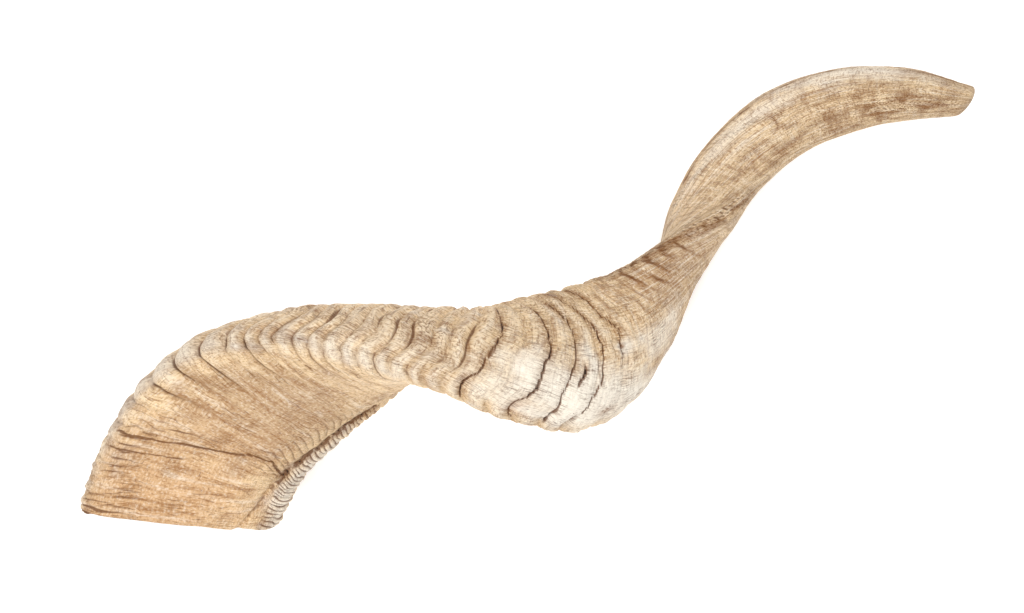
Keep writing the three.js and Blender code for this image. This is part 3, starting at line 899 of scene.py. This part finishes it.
def weathered_keratin(colours):
    """Weathered horn keratin, grown in rings, dried and never polished.

    The eye gets straw and cream tones, fine fibres along the horn, thin broken growth lines across it, dark
    pits and specks of grime, painted dark shade in the furrows and cracks, pale painted light on the bend's
    bulge and on the tip's upper band, and a dull sheen.
    """
    material = bpy.data.materials.new("weathered_horn_keratin")
    material.use_nodes = True
    tree = material.node_tree
    tree.nodes.clear()
    grain = add_node(tree, "ShaderNodeAttribute", attribute_name="grain").outputs["Vector"]
    fields = {
        name: add_node(tree, "ShaderNodeAttribute", attribute_name=name).outputs["Fac"]
        for name in HORN_MARKS
    }

    # Patterns as (length along the growth in mm, width across it in mm, detail, roughness of the noise).
    # Real keratin fibres are under 0.1 mm wide: fibre and grain are drawn coarser, so that they show.
    patterns = {
        "fibre": (4, 0.4, 3, 0.65),
        "grain": (6, 0.6, 3, 0.65),
        "long": (40, 0.8, 3, 0.6),
        "streak": (45, 2.6, 4, 0.6),
        "ring": (1.5, 18, 4, 0.6),
        "dash": (0.6, 4, 3, 0.6),
        "band": (3.2, 30, 3, 0.6),
        "patch": (13, 9, 4, 0.6),
        "wave": (12, 26, 3, 0.55),
        "speck": (1.0, 0.75, 2, 0.5),
        "fleck": (2.4, 0.7, 3, 0.6),
    }
    for name, (run, width, detail, coarseness) in patterns.items():
        scale = (1 / (run * MM), 1 / (width * MM), 1 / (width * MM))
        scaled = add_node(tree, "ShaderNodeVectorMath", {0: grain, 1: scale}, operation="MULTIPLY")
        noise = add_node(tree, "ShaderNodeTexNoise", {
            "Vector": scaled.outputs[0], "Scale": 1.0, "Detail": detail, "Roughness": coarseness,
        })
        fields[name] = noise.outputs["Fac"]

    # Thin wavy growth lines at an even pitch, broken up into pieces
    line_pitch = 1.9 * MM
    growth = add_node(tree, "ShaderNodeSeparateXYZ", {0: grain}).outputs[0]
    waves = add_node(tree, "ShaderNodeMath", {0: fields["wave"], 1: 5.0}, operation="MULTIPLY").outputs[0]
    phase = add_node(tree, "ShaderNodeMath", {
        0: growth, 1: 1 / line_pitch, 2: waves,
    }, operation="MULTIPLY_ADD")
    swing = add_node(tree, "ShaderNodeMath", {0: phase.outputs[0], 1: 0.5}, operation="PINGPONG").outputs[0]
    line = add_node(tree, "ShaderNodeMapRange", {
        "Value": swing, "From Min": 0.4, "From Max": 0.5,
    }, interpolation_type="SMOOTHSTEP").outputs[0]
    piece = add_node(tree, "ShaderNodeMapRange", {
        "Value": fields["patch"], "From Min": 0.46, "From Max": 0.6,
    }, interpolation_type="SMOOTHSTEP").outputs[0]
    growth_line = add_node(tree, "ShaderNodeMath", {0: line, 1: piece}, operation="MULTIPLY").outputs[0]
    fields["growth_line"] = growth_line
    # Dark fibres gather in patches and beside the furrows and cracks, where they are partly painted shade
    dark = add_node(tree, "ShaderNodeMapRange", {
        "Value": fields["patch"], "From Min": 0.4, "From Max": 0.66,
    }, interpolation_type="SMOOTHSTEP").outputs[0]
    dark = add_node(tree, "ShaderNodeMath", {0: dark, 1: fields["stain_and_shade"]}, operation="MAXIMUM").outputs[0]
    dark = add_node(tree, "ShaderNodeMath", {0: dark, 1: fields["fibrous"]}, operation="MULTIPLY").outputs[0]
    fields["dark_patch"] = dark

    # Layers of colour from the first to the last: the field that a layer follows, the values of it between
    # which the layer comes in, a field that limits it, its colour and its strength
    layers = (
        ("warm", 0, 1, None, colours.warm, 0.85),
        ("grey", 0, 1, None, colours.grey, 0.85),
        ("band", 0.5, 0.68, None, colours.brown, 0.5),
        ("band", 0.46, 0.3, None, colours.cream, 0.3),
        ("streak", 0.52, 0.7, "shaft", colours.brown, 0.55),
        ("streak", 0.46, 0.28, "shaft", colours.cream, 0.45),
        ("patch", 0.54, 0.72, None, colours.brown, 0.35),
        ("worn", 0, 1, None, colours.cream, 0.55),
        # Cream zones: pale keratin, with painted bounce light on the bend's bulge and a painted highlight on
        # the tip's upper band
        ("cream", 0, 1, None, colours.cream, 0.9),
        ("long", 0.52, 0.68, "shaft", colours.brown, 0.6),
        ("long", 0.46, 0.32, "shaft", colours.cream, 0.5),
        ("grain", 0.52, 0.68, "fibrous", colours.brown, 0.5),
        ("grain", 0.46, 0.3, "fibrous", colours.cream, 0.4),
        ("dash", 0.53, 0.66, None, colours.brown, 0.58),
        ("speck", 0.52, 0.66, None, colours.brown, 0.4),
        ("speck", 0.46, 0.32, None, colours.cream, 0.28),
        ("stripe", 0.1, 0.9, None, colours.brown, 0.5),
        ("fleck", 0.35, 0.6, "stain_and_shade", colours.brown, 0.7),
        ("cream", 0, 1, "bare", colours.cream, 0.8),
        ("fibre", 0.5, 0.62, "dark_patch", colours.dirt_and_shade, 0.65),
        ("growth_line", 0, 1, "face", colours.dirt_and_shade, 0.55),
        ("socket", 0, 1, None, colours.socket, 0.85),
        ("patch", 0.36, 0.62, "dirt_and_shade", colours.brown, 0.8),
        ("speck", 0.5, 0.6, "dirt_and_shade", colours.dirt_and_shade, 0.75),
        ("fleck", 0.64, 0.72, None, colours.dirt_and_shade, 0.65),
        # Painted shade: the furrows, folds, troughs, groove and cracks darken, the deepest of them near
        # black; the growth lines, rings and stripes that share this mark are real colour
        ("furrow", 0.2, 0.6, None, colours.dirt_and_shade, 0.8),
        ("furrow", 0.8, 1, None, colours.crack_shade, 0.95),
    )
    colour = tuple(colours.straw)
    for field, low, high, limit, layer_colour, strength in layers:
        share = add_node(tree, "ShaderNodeMapRange", {
            "Value": fields[field], "From Min": low, "From Max": high, "To Max": strength,
        }, interpolation_type="SMOOTHSTEP").outputs[0]
        if limit:
            limited = add_node(tree, "ShaderNodeMath", {0: share, 1: fields[limit]}, operation="MULTIPLY")
            share = limited.outputs[0]
        mixed = add_node(tree, "ShaderNodeMix", {
            0: share, 6: colour, 7: tuple(layer_colour),
        }, data_type="RGBA", clamp_factor=True)
        colour = mixed.outputs[2]

    # Fine relief: grain and rings, with the growth lines cut in and the fibres standing out
    fine = add_node(tree, "ShaderNodeMath", {0: fields["grain"], 1: fields["ring"]}, operation="ADD")
    lines = add_node(tree, "ShaderNodeMath", {
        0: growth_line, 1: -0.35, 2: fine.outputs[0],
    }, operation="MULTIPLY_ADD")
    grit = add_node(tree, "ShaderNodeMath", {
        0: fields["fibre"], 1: 0.6, 2: lines.outputs[0],
    }, operation="MULTIPLY_ADD")
    bump = add_node(tree, "ShaderNodeBump", {
        "Strength": 0.8, "Distance": 0.45 * MM, "Height": grit.outputs[0],
    })
    roughness = add_node(tree, "ShaderNodeMapRange", {
        "Value": fields["streak"], "From Min": 0.3, "From Max": 0.7, "To Min": 0.6, "To Max": 0.75,
    })
    shader = add_node(tree, "ShaderNodeBsdfPrincipled", {
        "Base Color": colour, "Roughness": roughness.outputs[0], "IOR": 1.55, "Normal": bump.outputs[0],
        "Specular IOR Level": 0.25,
    })
    add_node(tree, "ShaderNodeOutputMaterial", {"Surface": shader.outputs[0]})
    return material


def studio_white(colour, glow):
    """Matt white studio paper, lit from below as well: it gives an even, nearly shadowless pale ground."""
    material = bpy.data.materials.new("studio_white_paper")
    material.use_nodes = True
    shader = material.node_tree.nodes["Principled BSDF"]
    shader.inputs["Base Color"].default_value = colour
    shader.inputs["Roughness"].default_value = 0.9
    shader.inputs["Specular IOR Level"].default_value = 0.0
    shader.inputs["Emission Color"].default_value = (1, 1, 1, 1)
    shader.inputs["Emission Strength"].default_value = glow
    return material


def length(name, description, millimetres):
    """A length that a user may change."""
    return bpy.props.FloatProperty(
        name=name, description=description, default=millimetres * MM, min=0.0, unit="LENGTH", precision=5,
    )


def paint(name, description, hex_colour):
    """A colour that a user may change."""
    return bpy.props.FloatVectorProperty(
        name=name, description=description, default=linear(hex_colour), size=4, min=0.0, max=1.0,
        subtype="COLOR",
    )


class HornSizes(bpy.types.PropertyGroup):
    """Heights and depths of the horn's relief."""

    keel_rib: length("Keel ribs", "Height of the ribs on the outer keel", 1.9)
    belly_rib: length("Belly ribs", "Height of the ribs on the belly", 1.5)
    bead_rib: length("Bead ribs", "Height of the ribs on the bead", 0.9)
    face_rib: length("Face ribs", "Height of the ribs on the flat face", 0.2)
    furrow_depth: length("Furrows", "Depth of the narrow furrows between the ribs", 1.1)
    ring_height: length("Growth rings", "Height of the fine growth rings", 0.3)
    root_ridge_depth: length("Root ridges", "Depth between the wavy ridges on the keel at the root", 0.72)
    lump_height: length("Lumps", "Height of the soft lumps", 0.35)
    fold_height: length("Folds", "Height of the folds that reach onto the flat face", 1.5)
    root_ridge_pitch: length("Root ridge spacing", "Spacing of the wavy ridges on the keel at the root", 3.4)
    face_fold_pitch: length("Face fold spacing", "Spacing of the folds beside the groove", 4.2)
    stripe_pitch: length("Stripe spacing", "Spacing of the brown stripes on the shaft's inner side", 7.0)
    bead_pitch: length("Bead ridge spacing", "Spacing of the bead's slanting ridges", 2.8)
    bead_ridge: length("Bead ridges", "Height of the bead's slanting ridges", 0.9)
    crack_depth: length("Cracks", "Depth of the cracks in the bend", 0.8)
    groove_depth: length("Groove", "Depth of the groove beside the flat face", 2.2)
    face_line_depth: length("Face lines", "Depth of the growth lines on the flat face", 0.35)


class HornColours(bpy.types.PropertyGroup):
    """Colours of the weathered keratin."""

    straw: paint("Straw", "Plain keratin", "#edd0a5")
    warm: paint("Warm tan", "Keratin near the root", "#cda377")
    # Cream is bleached and worn keratin, and also the painted light on the bend's bulge and on the tip's
    # upper band
    cream: paint("Cream", "Bleached and worn keratin", "#faf1e1")
    grey: paint("Grey brown", "Weathered keratin", "#bb9c79")
    brown: paint("Brown", "Darker fibres and growth lines", "#8b5a2a")
    # The dirt colour is real grime in pits and specks, and painted shade in the furrows and folds
    dirt_and_shade: paint("Dirt", "Dirt in furrows and pits", "#633813")
    # The crack colour is painted near-black shade in the cracks and the deepest furrows, and also the
    # darkest growth lines
    crack_shade: paint("Crack", "Depth of the cracks", "#241206")
    socket: paint("Socket", "Raw keratin of the socket and the cut", "#8d6c4a")


class StageSettings(bpy.types.PropertyGroup):
    """The plain studio around the horn."""

    floor: paint("Floor", "Paper that the horn lies on", "#e6e6e6")
    glow: bpy.props.FloatProperty(
        name="Floor glow", description="Light of the paper", default=0.45, min=0.0,
    )
    fill: bpy.props.FloatProperty(
        name="Fill", description="Strength of the even light", default=0.53, min=0.0,
    )
    key: bpy.props.FloatProperty(
        name="Lights", description="Power of each light", default=8.7, unit="POWER",
    )
    lens: bpy.props.FloatProperty(
        name="Lens", description="Focal length in millimetres", default=100.0, unit="CAMERA",
        subtype="DISTANCE_CAMERA",
    )
    distance: bpy.props.FloatProperty(
        name="Distance", description="Height of the camera over the horn's middle plane", default=1.1378,
        unit="LENGTH",
    )


class SHEEPHORN_OT_horn(bpy.types.Operator):
    """Build the horn in the place of the solid part"""

    bl_idname = "sheephorn.horn"
    bl_label = "Build Horn"

    def execute(self, context):
        mesh = horn_mesh(context.scene.horn_sizes)
        mesh.materials.append(weathered_keratin(context.scene.horn_colours))
        horn = bpy.data.objects.new("sheep_horn", mesh)
        context.scene.collection.objects.link(horn)
        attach(horn, "root")
        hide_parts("horn")
        return {"FINISHED"}


class SHEEPHORN_OT_stage(bpy.types.Operator):
    """Set up the floor, the lights and the camera"""

    bl_idname = "sheephorn.stage"
    bl_label = "Set Up Stage"

    def execute(self, context):
        scene = context.scene
        stage = scene.horn_stage
        mesh = bpy.data.meshes.new("floor")
        corners = [(FLOOR_HALF * x, FLOOR_HALF * y, 0) for x, y in ((-1, -1), (1, -1), (1, 1), (-1, 1))]
        mesh.from_pydata(corners, [], [(0, 1, 2, 3)])
        mesh.materials.append(studio_white(stage.floor, stage.glow))
        floor = bpy.data.objects.new("floor", mesh)
        floor.location.z = HORN_LOW.z - FLOOR_GAP
        scene.collection.objects.link(floor)

        world = bpy.data.worlds.new("soft_studio")
        world.use_nodes = True
        background = world.node_tree.nodes["Background"]
        background.inputs["Color"].default_value = (1.0, 1.0, 1.0, 1.0)
        background.inputs["Strength"].default_value = stage.fill
        scene.world = world

        rotation = Matrix(turn().tolist())
        offset = Vector((resting_offset(rib_heights(scene.horn_sizes)) * MM).tolist())
        for name, place, size in LIGHTS:
            lamp = bpy.data.lights.new(name, "AREA")
            lamp.size = size
            lamp.energy = stage.key
            light = bpy.data.objects.new(name, lamp)
            light.location = place
            light.rotation_euler = (Vector(LIT_POINT) - light.location).to_track_quat("-Z", "Y").to_euler()
            scene.collection.objects.link(light)

        lens = bpy.data.cameras.new("camera")
        lens.sensor_width = SENSOR_WIDTH
        lens.lens = stage.lens
        lens.clip_start = NEAREST_SEEN
        camera = bpy.data.objects.new("camera", lens)
        place = rotation @ Vector((0, 0, stage.distance)) + offset
        camera.matrix_world = Matrix.LocRotScale(place, rotation, None)
        scene.collection.objects.link(camera)
        scene.camera = camera
        scene.view_settings.view_transform = "Standard"
        return {"FINISHED"}


class SHEEPHORN_PT_panel(bpy.types.Panel):
    """Sizes, colours and steps of the sheep horn"""

    bl_idname = "SHEEPHORN_PT_panel"
    bl_label = "Sheep Horn"
    bl_space_type = "VIEW_3D"
    bl_region_type = "UI"
    bl_category = "Sheep Horn"

    def draw(self, context):
        for group in (context.scene.horn_sizes, context.scene.horn_colours, context.scene.horn_stage):
            column = self.layout.column()
            for name in group.__annotations__:
                column.prop(group, name)
        for step in (SHEEPHORN_OT_horn, SHEEPHORN_OT_stage):
            self.layout.operator(step.bl_idname)


CLASSES = (HornSizes, HornColours, StageSettings, SHEEPHORN_OT_horn, SHEEPHORN_OT_stage, SHEEPHORN_PT_panel)


def register():
    for item in CLASSES:
        bpy.utils.register_class(item)
    bpy.types.Scene.horn_sizes = bpy.props.PointerProperty(type=HornSizes)
    bpy.types.Scene.horn_colours = bpy.props.PointerProperty(type=HornColours)
    bpy.types.Scene.horn_stage = bpy.props.PointerProperty(type=StageSettings)


def unregister():
    del bpy.types.Scene.horn_stage
    del bpy.types.Scene.horn_colours
    del bpy.types.Scene.horn_sizes
    for item in reversed(CLASSES):
        bpy.utils.unregister_class(item)


def main():
    register()
    bpy.ops.sheephorn.horn()
    bpy.ops.sheephorn.stage()


if __name__ == "__main__":
    main()
